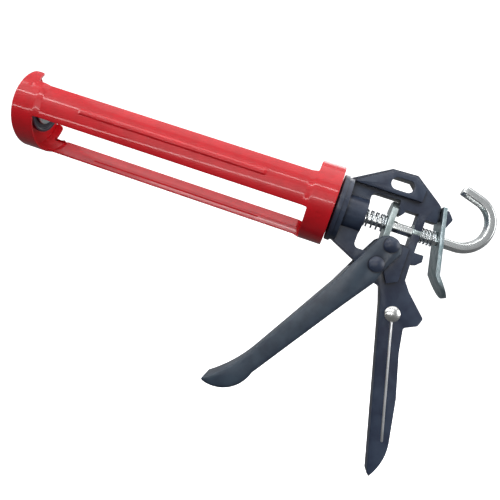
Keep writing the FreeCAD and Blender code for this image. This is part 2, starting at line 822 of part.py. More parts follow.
def make_drive_plate():
    """The gripping plate that the drive pin pushes along the rod."""
    plate = Maker("drive_plate")
    half = S["drive_width"] / 2
    top = S["drive_top"]
    low = drive_low_z
    plate.pad("YZ_Plane", [[
        Point(-half, low), Point(half, low), Point(half, top - 5.0), Point(half - 5.0, top),
        Point(5.0 - half, top), Point(-half, top - 5.0),
    ]], S["drive_wall"], circles=[(ZERO, ZERO, rod_vertex + S["slide_gap"])], both=False)
    return place(plate.body, x=drive_front_x)


def make_spring(label, radius, wire, coils, x, length):
    """An open helical spring about the rod's axis, held inside the given length."""
    turns = Size.of(coils)
    height = length - wire
    helix = doc.addObject("Part::Helix", label + "_line")
    bind(helix, "Radius", radius)
    bind(helix, "Pitch", height / turns)
    bind(helix, "Height", height)
    ring = doc.addObject("Part::Circle", label + "_section")
    bind(ring, "Radius", wire / 2)
    place(ring, x=radius, turn=FreeCAD.Rotation(FreeCAD.Vector(1, 0, 0), 90))
    spring = doc.addObject("Part::Sweep", label)
    spring.Sections = [ring]
    spring.Spine = (helix, ["Edge1"])
    spring.Solid = True
    spring.Frenet = True
    doc.recompute()
    return place(spring, x=x + wire / 2, turn=ALONG_X)


# ---------------------------------------------------------------- push rod
nut_x = Size.of(0.6)
disc_x = nut_x + S["nut_height"]
backing_x = disc_x + S["plunger_wall"]
shoulder_x = backing_x + S["backing_wall"]
bend_x = lever_front(ZERO) + lever_back + S["hook_gap"]


def make_rod():
    """The hexagonal rod with its ladder hook and the stud that holds the plunger."""
    turn = S["hook_turn_deg"]
    hook = S["hook_radius"]
    end_x = bend_x + hook * turn.trig("sin")
    end_z = hook - hook * turn.trig("cos")
    path = doc.addObject("Sketcher::SketchObject", "rod_line")
    path.Placement = FreeCAD.Placement(
        FreeCAD.Vector(), FreeCAD.Rotation(FreeCAD.Vector(1, 0, 0), 90))
    draw(path, [
        Point(shoulder_x, ZERO), Point(bend_x, ZERO, bulge=hook, left=True), Point(end_x, end_z),
        Point(end_x + S["hook_tip"] * turn.trig("cos"), end_z + S["hook_tip"] * turn.trig("sin")),
    ], closed=False)
    section = doc.addObject("Part::RegularPolygon", "rod_section")
    section.Polygon = 6
    bind(section, "Circumradius", rod_vertex)
    place(section, x=shoulder_x, turn=FreeCAD.Rotation(FreeCAD.Vector(0, 1, 0), 90).multiply(
        FreeCAD.Rotation(FreeCAD.Vector(0, 0, 1), 90)))
    bar = doc.addObject("Part::Sweep", "rod_bar")
    bar.Sections = [section]
    bar.Spine = (path, ["Edge1", "Edge2", "Edge3"])
    bar.Solid = True
    doc.recompute()
    stud = cylinder("rod_stud", S["stud_radius"], shoulder_x - nut_x + 1.0 + 0.6,
                    x=nut_x - 0.6, turn=ALONG_X)
    return boolean("MultiFuse", "push_rod", None, shapes=[bar, stud])


def make_plunger_disc():
    """The dished disc that pushes the cartridge's piston."""
    disc = Maker("plunger_disc")
    wall = S["plunger_wall"]
    radius = S["cradle_radius"] - S["strip_recess"] - S["cradle_wall"] - S["plunger_gap"]
    lip = S["plunger_lip"]
    disc.turn([
        Point(ZERO, S["stud_radius"]), Point(ZERO, radius - wall), Point(ZERO + 0.6, radius),
        Point(lip, radius), Point(lip, radius - wall), Point(wall, radius - wall - 0.6),
        Point(wall, S["stud_radius"]),
    ])
    return place(disc.body, x=disc_x)


def make_plunger_nut():
    """The hexagonal nut on the end of the rod."""
    nut = Maker("plunger_nut")
    radius = S["nut_across_flats"] / Size.of(math.sqrt(3.0))
    half = S["nut_across_flats"] / 2
    side = radius / 2
    nut.pad("YZ_Plane", [[
        Point(radius, ZERO), Point(side, half), Point(-side, half), Point(-radius, ZERO),
        Point(-side, -half), Point(side, -half),
    ]], S["nut_height"], circles=[(ZERO, ZERO, S["stud_radius"])], both=False)
    return place(nut.body, x=nut_x)


# ---------------------------------------------------------------- release lever
def make_release_lever():
    """The thumb lever: a leaning strip with a bore for the rod and a bent tab."""
    lever = Maker("release_lever")
    tilt = S["lever_tilt_deg"]
    top = S["lever_top"]
    knee = top - S["lever_drop"] * tilt.trig("cos")
    tab = S["lever_tab"]
    toe = knee - tab * 1.24
    back = lever_back
    half = S["lever_width"] / 2

    def front(height):
        return (top - height) * slope
    lever.pad("XZ_Plane", [[
        Point(ZERO, top), Point(front(knee), knee), Point(front(knee) + tab, toe),
        Point(front(knee) + tab + 1.9, toe + 1.5), Point(front(knee) + back + 0.2, knee + 1.0),
        Point(back, top),
    ]], S["lever_width"])
    lever.cut("YZ_Plane", [[
        Point(half, toe + half, bulge=half, left=False), Point(-half, toe + half),
        Point(half * -2, toe + half), Point(half * -2, toe - half), Point(half * 2, toe - half),
        Point(half * 2, toe + half),
    ]], S["lever_drop"] * 3)
    lever.cut("YZ_Plane", [], S["lever_drop"] * 3,
              circles=[(ZERO, ZERO, rod_vertex + S["lever_bore_gap"])])
    slit = S["nose_width"] / 2 + 0.6
    lever.cut("YZ_Plane", [[
        Point(-slit, 11.6), Point(slit, 11.6), Point(slit, 18.0), Point(-slit, 18.0),
    ]], S["lever_drop"] * 3)
    return place(lever.body, x=lever_x)


# ---------------------------------------------------------------- seal-puncture wire
def make_wire():
    """The wire that pierces the cartridge seal, flattened into an eye round the rivet."""
    wire = Maker("puncture_wire")
    eye = S["wire_eye_radius"]
    length = S["wire_length"]
    wire.pad("XZ_Plane", [], S["wire_eye_wall"], circles=[
        (ZERO, ZERO, eye), (ZERO, ZERO, S["stow_rivet_radius"] + S["running_gap"])])
    shank = S["wire_shank_radius"]
    wire.turn([
        Point(eye - 0.9, ZERO), Point(eye - 0.9, shank), Point(length - 3.0, shank), Point(length, 0.25),
        Point(length, ZERO),
    ])
    lean = FreeCAD.Rotation(FreeCAD.Vector(0, 1, 0), 75.6)
    return place(wire.body, x=stow_x, y=wire_y, z=-S["stow_rivet_drop"], turn=lean)


# ---------------------------------------------------------------- build every piece
cheek_y = half_width + S["side_gap"] + S["trigger_wall"]
head_y = -cheek_y - S["face_gap"]
rivet_span = head_y * -2

pieces = [
    make_cradle_shell(),
    make_front_plate(),
    make_rear_plate(),
    make_frame(),
    ring_piece("hub_retainer", S["hub_neck_radius"], S["retainer_radius"], retainer_x,
               S["retainer_width"], bevel=0.6),
    ring_piece("friction_washer", S["hub_neck_radius"], S["hub_neck_radius"] + 7.0,
               flange_x - S["washer_wall"], S["washer_wall"]),
    ring_piece("front_bush", rod_vertex + S["running_gap"], bore_radius, neck_x,
               hub_end_x - neck_x),
    ring_piece("rear_bush", rod_vertex + S["running_gap"], bore_radius, window_end_x,
               S["rear_wall"]),
    make_rivet("trigger_pivot", S["pivot_radius"], rivet_span, head_y, pivot_x, pivot_z),
    make_rivet("stow_rivet", S["stow_rivet_radius"], half_width - stow_head_y, stow_head_y,
               stow_x, -S["stow_rivet_drop"], far_head=False),
    make_rivet("drive_pin", S["pin_radius"], rivet_span, head_y, pivot_x + S["pin_setback"], pin_z),
    make_trigger(),
    make_drive_plate(),
    make_spring("drive_spring", spring_radius, S["spring_wire"], S["spring_coils"],
                hub_end_x + S["seat_gap"], drive_front_x - hub_end_x - S["seat_gap"] * 2),
    make_rod(),
    make_plunger_disc(),
    ring_piece("plunger_backing", S["stud_radius"], S["backing_radius"], backing_x,
               S["backing_wall"], bevel=0.3),
    make_plunger_nut(),
    make_release_lever(),
    make_spring("release_spring", release_spring_radius, S["release_spring_wire"],
                S["release_spring_coils"], wall_end_x + S["seat_gap"],
                lever_front(release_spring_radius + 1.0) - wall_end_x - S["seat_gap"] * 2),
    make_wire(),
]

doc.recompute()

# ---------------------------------------------------------------- check and write
for thing in doc.Objects:
    if "Invalid" in thing.State or "Error" in thing.State:
        raise RuntimeError("%s failed: %s" % (thing.Name, thing.State))

os.makedirs("parts", exist_ok=True)
for piece in pieces:
    shape = piece.Shape
    if shape.isNull() or not shape.isValid() or len(shape.Solids) != 1:
        raise RuntimeError("%s is not one sound solid" % piece.Label)
    shape.exportStep("parts/%s.step" % piece.Label)
    box = shape.BoundBox
    print("%-18s %9.1f mm3  x %6.1f %6.1f  y %6.1f %6.1f  z %6.1f %6.1f" % (
        piece.Label, shape.Volume, box.XMin, box.XMax, box.YMin, box.YMax, box.ZMin, box.ZMax))
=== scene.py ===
import logging
import math
from dataclasses import dataclass
from enum import Enum
from typing import Optional, Sequence, Union

import bpy
from mathutils import Matrix, Vector


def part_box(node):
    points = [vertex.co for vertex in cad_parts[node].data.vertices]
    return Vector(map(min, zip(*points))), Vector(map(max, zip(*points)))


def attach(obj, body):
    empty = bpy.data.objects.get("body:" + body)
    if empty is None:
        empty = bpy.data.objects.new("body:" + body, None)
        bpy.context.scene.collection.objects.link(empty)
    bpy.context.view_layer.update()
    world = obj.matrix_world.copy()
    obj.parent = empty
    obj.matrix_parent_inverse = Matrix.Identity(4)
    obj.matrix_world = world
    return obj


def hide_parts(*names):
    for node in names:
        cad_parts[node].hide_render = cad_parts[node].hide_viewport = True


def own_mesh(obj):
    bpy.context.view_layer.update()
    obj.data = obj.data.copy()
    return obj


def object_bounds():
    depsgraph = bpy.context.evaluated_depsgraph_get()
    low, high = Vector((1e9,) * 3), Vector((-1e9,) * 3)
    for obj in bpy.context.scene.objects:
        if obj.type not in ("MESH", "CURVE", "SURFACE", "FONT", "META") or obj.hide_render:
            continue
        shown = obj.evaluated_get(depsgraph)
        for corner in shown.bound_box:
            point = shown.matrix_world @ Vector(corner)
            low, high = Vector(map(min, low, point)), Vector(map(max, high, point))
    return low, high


# Looks of a skeleton caulking gun over its fixed CAD frame. The frame runs +X to the rear along
# the push rod, +Z up and +Y away from the side that shows the stowed wire. Lengths are metres.

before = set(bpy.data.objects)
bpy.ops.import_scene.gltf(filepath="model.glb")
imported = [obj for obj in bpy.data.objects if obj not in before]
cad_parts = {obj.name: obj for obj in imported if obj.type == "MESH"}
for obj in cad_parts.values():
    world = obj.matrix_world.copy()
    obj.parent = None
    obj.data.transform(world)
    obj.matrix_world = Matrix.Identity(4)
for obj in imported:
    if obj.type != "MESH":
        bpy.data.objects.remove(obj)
bounds_at_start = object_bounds()

MM = 0.001
log = logging.getLogger("caulking_gun")

Shape = bpy.types.Object
Number = Union[float, "Signal"]


# ---------------------------------------------------------------- shader maths
class Signal:
    """A shader value that is added, subtracted and multiplied like a number."""

    def __init__(self, shader: "Shader", socket: bpy.types.NodeSocket) -> None:
        """Wrap an output socket of one of the shader's nodes."""
        self.shader = shader
        self.socket = socket

    def _math(self, operation: str, first: Number, second: Number = 0.0, clamp: bool = False) -> "Signal":
        """Join two values by a Math node.

        Args:
            operation: the Math node's operation.
            first: its first value.
            second: its second value.
            clamp: whether the result is kept between 0 and 1.

        Returns:
            The node's output.
        """
        node = self.shader.node("ShaderNodeMath", {"operation": operation, "use_clamp": clamp},
                                {0: first, 1: second})
        return Signal(self.shader, node.outputs[0])

    def __add__(self, other: Number) -> "Signal":
        """Sum of this value and another."""
        return self._math("ADD", self, other)

    __radd__ = __add__

    def __sub__(self, other: Number) -> "Signal":
        """This value less another."""
        return self._math("SUBTRACT", self, other)

    def __rsub__(self, other: Number) -> "Signal":
        """Another value less this one."""
        return self._math("SUBTRACT", other, self)

    def __mul__(self, other: Number) -> "Signal":
        """Product of this value and another."""
        return self._math("MULTIPLY", self, other)

    def clamp(self) -> "Signal":
        """This value kept between 0 and 1."""
        return self._math("ADD", self, 0.0, clamp=True)

    def ramp(self, low: float, high: float) -> "Signal":
        """A smooth step that is 0 at low and below, and 1 at high and above."""
        node = self.shader.node("ShaderNodeMapRange", {"interpolation_type": "SMOOTHSTEP"},
                                {"Value": self, "From Min": low, "From Max": high})
        return Signal(self.shader, node.outputs["Result"])


class Shader:
    """A node material in the making."""

    def __init__(self, name: str) -> None:
        """Start an empty material of this name."""
        self.material = bpy.data.materials.new(name)
        self.material.use_nodes = True
        self.tree = self.material.node_tree
        self.tree.nodes.clear()
        self.place = self.node("ShaderNodeTexCoord").outputs["Object"]

    def node(self, kind: str, settings: Optional[dict] = None,
             inputs: Optional[dict] = None) -> bpy.types.Node:
        """Add a node.

        Args:
            kind: the node's type.
            settings: its properties, set before its inputs.
            inputs: values, sockets or signals, by input name or number.

        Returns:
            The new node.
        """
        node = self.tree.nodes.new(kind)
        for name, value in (settings or {}).items():
            setattr(node, name, value)
        for name, value in (inputs or {}).items():
            if isinstance(value, Signal):
                value = value.socket
            if isinstance(value, bpy.types.NodeSocket):
                self.tree.links.new(value, node.inputs[name])
            else:
                node.inputs[name].default_value = value
        return node

    def noise(self, grain: float, detail: float = 3.0, stretch: Sequence[float] = (1, 1, 1)) -> Signal:
        """Cloudy noise.

        Args:
            grain: the size of its patches.
            detail: how many finer layers it has.
            stretch: how much longer the patches are along X, Y and Z.

        Returns:
            The noise, mostly between 0.3 and 0.7.
        """
        scale = tuple(1.0 / (grain * s) for s in stretch)
        mapped = self.node("ShaderNodeMapping", {}, {"Vector": self.place, "Scale": scale})
        node = self.node("ShaderNodeTexNoise", {}, {
            "Vector": mapped.outputs[0], "Scale": 1.0, "Detail": detail, "Roughness": 0.55})
        return Signal(self, node.outputs["Fac"])

    def cells(self, grain: float) -> Signal:
        """Distance to the nearest of scattered points, which are grain apart."""
        node = self.node("ShaderNodeTexVoronoi", {}, {"Vector": self.place, "Scale": 1.0 / grain})
        return Signal(self, node.outputs["Distance"])

    def edges(self, reach: float) -> Signal:
        """A mask that is 1 on sharp edges and 0 on faces further than reach from one."""
        soft = self.node("ShaderNodeBevel", {"samples": 6}, {"Radius": reach}).outputs[0]
        flat = self.node("ShaderNodeNewGeometry").outputs["Normal"]
        dot = self.node("ShaderNodeVectorMath", {"operation": "DOT_PRODUCT"}, {0: soft, 1: flat})
        return (1.0 - Signal(self, dot.outputs["Value"])).ramp(0.02, 0.22)

    def crevice_shade_mask(self, reach: float) -> Signal:
        """A painted-shade mask that is 1 in corners and grooves narrower than reach and 0 on open faces, from
        ambient occlusion.
        """
        node = self.node("ShaderNodeAmbientOcclusion", {"samples": 8}, {"Distance": reach})
        return 1.0 - Signal(self, node.outputs["AO"])

    def rounded(self, radius: float) -> bpy.types.NodeSocket:
        """The surface's normal with its corners rounded to a radius."""
        return self.node("ShaderNodeBevel", {"samples": 8}, {"Radius": radius}).outputs[0]

    def blend(self, factor: Number, first: object, second: object) -> bpy.types.NodeSocket:
        """Mix two colours by a factor."""
        node = self.node("ShaderNodeMix", {"data_type": "RGBA"}, {"Factor": factor})
        for slot, value in (("A", first), ("B", second)):
            socket = next(s for s in node.inputs if s.name == slot and s.type == "RGBA")
            if isinstance(value, bpy.types.NodeSocket):
                self.tree.links.new(value, socket)
            else:
                socket.default_value = value
        return next(s for s in node.outputs if s.type == "RGBA")

    def bump(self, height: Signal, distance: float, corner: float = 0.0) -> bpy.types.NodeSocket:
        """Bend the normal by a height.

        Args:
            height: the height, from 0 to 1.
            distance: how high 1 stands.
            corner: the radius to which sharp corners are rounded, or 0.

        Returns:
            The bent normal.
        """
        inputs = {"Height": height, "Distance": distance}
        if corner > 0.0:
            inputs["Normal"] = self.rounded(corner)
        return self.node("ShaderNodeBump", {}, inputs).outputs[0]

    def surface(self, **inputs: object) -> bpy.types.Material:
        """Close the material with a Principled BSDF.

        Args:
            inputs: the shader's inputs, with _ for a space in their names.

        Returns:
            The finished material.
        """
        named = {name.replace("_", " "): value for name, value in inputs.items()}
        shader = self.node("ShaderNodeBsdfPrincipled", {}, named)
        self.node("ShaderNodeOutputMaterial", {}, {"Surface": shader.outputs[0]})
        return self.material


def rgb(red: float, green: float, blue: float) -> tuple[float, float, float, float]:
    """An opaque colour from display values between 0 and 255."""
    def linear(value: float) -> float:
        """One channel without the display's curve."""
        value = value / 255.0
        return value / 12.92 if value <= 0.04045 else ((value + 0.055) / 1.055) ** 2.4
    return linear(red), linear(green), linear(blue), 1.0


# ---------------------------------------------------------------- finishes
@dataclass(frozen=True)
class GlossPaint:
    """Wet-looking stove enamel on sheet steel."""

    colour: tuple = rgb(206, 5, 24)
    deep: tuple = rgb(196, 3, 20)
    worn: tuple = rgb(96, 4, 14)

    def make(self, name: str) -> bpy.types.Material:
        """The enamel as a material."""
        s = Shader(name)
        flow = s.noise(9 * MM, 2.0)
        peel = s.noise(1.1 * MM, 2.0)
        dust = s.cells(2.3 * MM).ramp(0.10, 0.02)
        edge = s.edges(0.35 * MM)
        tint = s.blend(flow.ramp(0.35, 0.65), self.colour, self.deep)
        tint = s.blend((edge * 0.75).clamp(), tint, self.worn)
        return s.surface(
            Base_Color=tint, Roughness=0.30 + flow * 0.10, IOR=1.42, Coat_Weight=0.45, Coat_Roughness=0.07,
            Normal=s.bump(peel * 0.5 + flow * 0.9 + dust * 0.2, 0.010 * MM))


@dataclass(frozen=True)
class SatinPaint:
    """Powder coat on a die casting or a pressing."""

    colour: tuple = rgb(50, 62, 82)
    deep: tuple = rgb(26, 36, 60)
    worn: tuple = rgb(88, 98, 116)
    # the colour of the painted shade laid into corners and grooves
    shade: tuple = rgb(8, 12, 30)
    roughness: float = 0.38
    grain: float = 0.30 * MM
    corner: float = 0.0
    # how far the painted shade in corners and grooves reaches
    crevice_shade_reach: float = 3.2 * MM

    def make(self, name: str) -> bpy.types.Material:
        """The coat as a material."""
        s = Shader(name)
        cloud = s.noise(14 * MM, 3.0)
        fine = s.noise(self.grain, 2.0)
        wave = s.noise(2.6 * MM, 1.0)
        edge = s.edges(0.45 * MM)
        rub = (edge * s.noise(1.8 * MM, 4.0).ramp(0.42, 0.62) * 0.55).clamp()
        tint = s.blend(cloud.ramp(0.3, 0.7), self.colour, self.deep)
        # painted shade: corners and grooves darken towards the shade colour by ambient occlusion
        tint = s.blend(s.crevice_shade_mask(self.crevice_shade_reach).ramp(0.04, 0.42), tint, self.shade)
        tint = s.blend(rub, tint, self.worn)
        return s.surface(
            Base_Color=tint, Roughness=(self.roughness + cloud * 0.12 - edge * 0.08).clamp(), IOR=1.5,
            Coat_Weight=0.25, Coat_Roughness=0.22,
            Normal=s.bump(fine * 0.8 + wave * 1.2, 0.022 * MM, self.corner))


class Lay(Enum):
    """Which way the drawing or rolling lines of a metal run."""

    ALONG = (60.0, 1.0, 1.0)
    LOOSE = (2.0, 2.0, 2.0)


@dataclass(frozen=True)
class Plating:
    """Zinc or nickel plating over steel."""

    colour: tuple = rgb(214, 220, 222)
    stain: tuple = rgb(150, 166, 168)
    roughness: float = 0.20
    lay: Lay = Lay.LOOSE
    relief: float = 0.010 * MM

    def make(self, name: str) -> bpy.types.Material:
        """The plating as a material."""
        s = Shader(name)
        cloud = s.noise(3.5 * MM, 3.0)
        lines = s.noise(0.35 * MM, 2.0, self.lay.value)
        pits = s.cells(2.6 * MM).ramp(0.10, 0.03)
        edge = s.edges(0.3 * MM)
        tint = s.blend(cloud.ramp(0.35, 0.75) * 0.8, self.colour, self.stain)
        tint = s.blend((pits * 0.25).clamp(), tint, self.stain)
        tint = s.blend((edge * 0.5).clamp(), tint, self.colour)
        return s.surface(
            Base_Color=tint, Metallic=1.0,
            Roughness=(self.roughness + cloud * 0.14 + lines * 0.08 - edge * 0.08).clamp(),
            Normal=s.bump(lines - pits * 0.4, self.relief))


@dataclass(frozen=True)
class Nylon:
    """Moulded nylon."""

    colour: tuple = rgb(30, 30, 33)
    pale: tuple = rgb(52, 52, 56)

    def make(self, name: str) -> bpy.types.Material:
        """The nylon as a material."""
        s = Shader(name)
        cloud = s.noise(4 * MM, 3.0)
        tint = s.blend(cloud.ramp(0.3, 0.7), self.colour, self.pale)
        return s.surface(Base_Color=tint, Roughness=0.5 + cloud * 0.15,
                         Normal=s.bump(s.noise(0.2 * MM, 2.0), 0.015 * MM))


class Finish(Enum):
    """The finishes of the gun, by the record's material slots."""

    cradle_paint = GlossPaint()
    frame_paint = SatinPaint()
    trigger_paint = SatinPaint(colour=rgb(54, 68, 82), deep=rgb(34, 46, 62), roughness=0.32,
                               corner=3.6 * MM)
    disc_paint = SatinPaint(colour=rgb(48, 42, 64), deep=rgb(34, 30, 48))
    zinc = Plating(colour=rgb(196, 206, 206), stain=rgb(142, 160, 158), roughness=0.24)
    bright_zinc = Plating(colour=rgb(232, 232, 230), stain=rgb(196, 196, 192), roughness=0.16,
                          lay=Lay.ALONG)
    spring_zinc = Plating(colour=rgb(236, 240, 242), stain=rgb(206, 212, 216), roughness=0.12,
                          relief=0.002 * MM)
    rod_zinc = Plating(colour=rgb(240, 242, 241), stain=rgb(214, 219, 218), roughness=0.12,
                       lay=Lay.ALONG, relief=0.003 * MM)
    lever_zinc = Plating(colour=rgb(176, 190, 194), stain=rgb(120, 146, 150), roughness=0.26,
                         relief=0.014 * MM)
    wire_steel = Plating(colour=rgb(246, 247, 247), stain=rgb(226, 228, 228), roughness=0.20,
                         relief=0.003 * MM)
    nylon = Nylon()


class Wardrobe:
    """Hands out each finish as one material, made when it is first asked for."""

    def __init__(self) -> None:
        """Start with no materials made."""
        self.made: dict[str, bpy.types.Material] = {}

    def get(self, finish: Finish) -> bpy.types.Material:
        """The material of a finish."""
        if finish.name not in self.made:
            self.made[finish.name] = finish.value.make(finish.name)
        return self.made[finish.name]

    def dress(self, piece: Shape, finish: Finish) -> None:
        """Give a piece one finish all over."""
        material = self.get(finish)
        if not piece.material_slots:
            piece.data.materials.append(material)
        for slot in piece.material_slots:
            slot.material = material


wardrobe = Wardrobe()


# ---------------------------------------------------------------- mesh tools
def new_piece(name: str, vertices: Sequence, faces: Sequence, smooth_deg: float = 32.0) -> Shape:
    """Make a mesh object.

    Args:
        name: the piece's name.
        vertices: its points, in the frame's place.
        faces: its faces, as lists of point numbers.
        smooth_deg: edges that bend less than this are shaded smooth.

    Returns:
        The object, linked to the scene.
    """
    mesh = bpy.data.meshes.new(name)
    mesh.from_pydata([tuple(v) for v in vertices], [], [tuple(f) for f in faces])
    mesh.validate()
    mesh.update()
    piece = bpy.data.objects.new(name, mesh)
    bpy.context.scene.collection.objects.link(piece)
    shade(piece, smooth_deg)
    return piece


def shade(piece: Shape, smooth_deg: float) -> None:
    """Shade a mesh smooth but for the edges that bend more than smooth_deg."""
    mesh = piece.data
    mesh.polygons.foreach_set("use_smooth", [True] * len(mesh.polygons))
    mesh.set_sharp_from_angle(angle=math.radians(smooth_deg))
    mesh.update()


def settle(piece: Shape, smooth_deg: float = 32.0) -> Shape:
    """Apply a piece's modifiers to its mesh."""
    seen = piece.evaluated_get(bpy.context.evaluated_depsgraph_get())
    mesh = bpy.data.meshes.new_from_object(seen)
    piece.modifiers.clear()
    piece.data = mesh
    shade(piece, smooth_deg)
    return piece


def soften(piece: Shape, width: float, segments: int = 3, angle_deg: float = 34.0) -> None:
    """Round a piece's sharp edges with a modifier."""
    bevel = piece.modifiers.new("rounded_edges", "BEVEL")
    bevel.width = width
    bevel.segments = segments
    bevel.limit_method = "ANGLE"
    bevel.angle_limit = math.radians(angle_deg)
    bevel.use_clamp_overlap = True
    bevel.harden_normals = True


def ease(t: float) -> float:
    """A smooth step from 0 to 1 as t goes from 0 to 1."""
    t = min(max(t, 0.0), 1.0)
    return t * t * (3.0 - 2.0 * t)


def fold(t: float) -> float:
    """A straight slope from 0 to 1 as t goes from 0 to 1, with a tight bend at each end."""
    return 0.75 * min(max(t, 0.0), 1.0) + 0.25 * ease(t)


def spread(start: float, end: float, step: float) -> list[float]:
    """Even places from start to end, no further apart than step."""
    count = max(1, math.ceil((end - start) / step))
    return [start + (end - start) * k / count for k in range(count + 1)]


def quarter(radius: float, distance: float) -> float:
    """How far a fillet stands out at this distance from its wall."""
    if distance >= radius:
        return 0.0
    return radius - math.sqrt(max(radius * radius - (radius - distance) ** 2, 0.0))


class Section:
    """Closed outlines for swept bars."""

    @staticmethod
    def round(radius: float, count: int = 12) -> list[tuple[float, float]]:
        """A circle of count points."""
        turns = [2 * math.pi * k / count for k in range(count)]
        return [(radius * math.cos(t), radius * math.sin(t)) for t in turns]

    @staticmethod
    def hexagon(across_flats: float, corner: float, arc: int = 4) -> list[tuple[float, float]]:
        """A hexagon with rounded corners and flats at the top and bottom."""
        inner = across_flats / 2 - corner
        points = []
        for k in range(6):
            middle = math.radians(60 * k)
            reach = inner / math.cos(math.radians(30))
            for j in range(arc + 1):
                turn = middle + math.radians(-30 + 60 * j / arc)
                points.append((reach * math.cos(middle) + corner * math.cos(turn),
                               reach * math.sin(middle) + corner * math.sin(turn)))
        return points


def sweep(name: str, path: Sequence[Vector], section: Sequence[tuple[float, float]], side: Vector,
          nose: float = 0.0, smooth_deg: float = 32.0) -> Shape:
    """Carry a section along a path.

    Args:
        name: the piece's name.
        path: points along the middle of the bar.
        section: the section's outline, (across, up).
        side: a direction that the section's first axis stays close to.
        nose: how far the ends are rounded off.
        smooth_deg: edges that bend less than this are shaded smooth.

    Returns:
        The bar, closed at both ends.
    """
    rings = [(p, 1.0) for p in path]
    if nose > 0.0:
        first = (path[0] - path[1]).normalized() * nose
        last = (path[-1] - path[-2]).normalized() * nose
        reach = max(math.hypot(a, b) for a, b in section)
        turns = [math.radians(a) for a in (30, 60, 80)]
        for turn in turns:
            scale = 1.0 - nose / reach * (1.0 - math.cos(turn))
            rings.insert(0, (path[0] + first * math.sin(turn), scale))
            rings.append((path[-1] + last * math.sin(turn), scale))
    vertices, faces = [], []
    count = len(section)
    for index, (point, scale) in enumerate(rings):
        before = rings[max(index - 1, 0)][0]
        after = rings[min(index + 1, len(rings) - 1)][0]
        way = (after - before).normalized()
        across = (side - way * side.dot(way)).normalized()
        up = way.cross(across)
        vertices += [point + (across * a + up * b) * scale for a, b in section]
    for ring in range(len(rings) - 1):
        low = ring * count
        for k in range(count):
            after = (k + 1) % count
            faces.append((low + k, low + after, low + count + after, low + count + k))
    faces.append(tuple(reversed(range(count))))
    faces.append(tuple(range(len(vertices) - count, len(vertices))))
    return new_piece(name, vertices, faces, smooth_deg)


def lathe(name: str, outline: Sequence[tuple[float, float]], centre: Vector, axis: Vector,
          count: int = 64, smooth_deg: float = 30.0) -> Shape:
    """Turn an outline about an axis.

    Args:
        name: the piece's name.
        outline: closed or axis-to-axis points, (along the axis, radius).
        centre: where the axis starts.
        axis: its direction.
        count: how many facets go round.
        smooth_deg: edges that bend less than this are shaded smooth.

    Returns:
        The turned piece.
    """
    axis = axis.normalized()
    side = axis.orthogonal().normalized()
    up = axis.cross(side)
    closed = outline[0][1] > 0
    vertices, faces = [], []
    for k in range(count):
        turn = 2 * math.pi * k / count
        spoke = side * math.cos(turn) + up * math.sin(turn)
        vertices += [centre + axis * along + spoke * radius for along, radius in outline]
    size = len(outline)
    for k in range(count):
        low, high = k * size, ((k + 1) % count) * size
        for j in range(size if closed else size - 1):
            after = (j + 1) % size
            faces.append((low + j, high + j, high + after, low + after))
    piece = new_piece(name, vertices, faces, smooth_deg)
    weld = piece.modifiers.new("weld", "WELD")
    weld.merge_threshold = 0.0005 * MM
    return settle(piece, smooth_deg)


def middle_of(node: str) -> Vector:
    """The middle of a CAD node's box."""
    low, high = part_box(node)
    return (low + high) / 2


def stands_for(piece: Shape, node: str, body: str, slot: Finish) -> Shape:
    """Finish a piece, let it ride on a body and put it in place of a CAD node."""
    wardrobe.dress(piece, slot)
    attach(piece, body)
    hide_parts(node)
    return piece


# ---------------------------------------------------------------- cradle
@dataclass
class Strip:
    """One of the two strips that join the cradle's ends, by its middle and width in degrees."""

    middle: float
    width: float = 54.0

    @property
    def start(self) -> float:
        """The strip's first edge."""
        return self.middle - self.width / 2

    @property
    def end(self) -> float:
        """The strip's last edge."""
        return self.middle + self.width / 2


